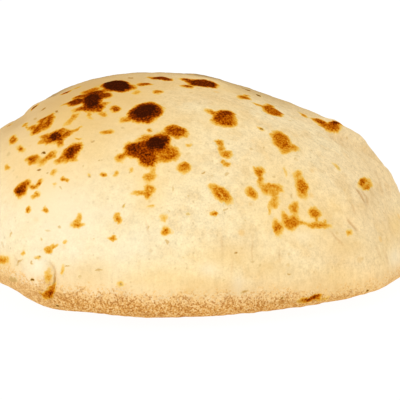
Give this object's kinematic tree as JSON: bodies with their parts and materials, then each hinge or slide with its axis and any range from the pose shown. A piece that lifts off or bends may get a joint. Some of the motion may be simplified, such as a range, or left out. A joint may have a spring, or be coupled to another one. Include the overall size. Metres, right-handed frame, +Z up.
{
  "type": "pita bread",
  "caption": "Whole round pita, puffed by its own steam into a lopsided dome on a flat foot, with scorched blisters and a pleated edge.",
  "frame": {"origin": "at the height of the flat foot, below the middle of the bounding box", "axes": "+Z up, +X towards the loaf's right end as it faces the viewer, -Y towards its front"},
  "size_m": [0.1824, 0.1734, 0.0753],
  "materials": {
    "crust": "matte baked flour crust, cream with brown to black scorch marks and a tan lower edge"
  },
  "bodies": {
    "root": {"pita_bread": "crust"}
  },
  "joints": []
}
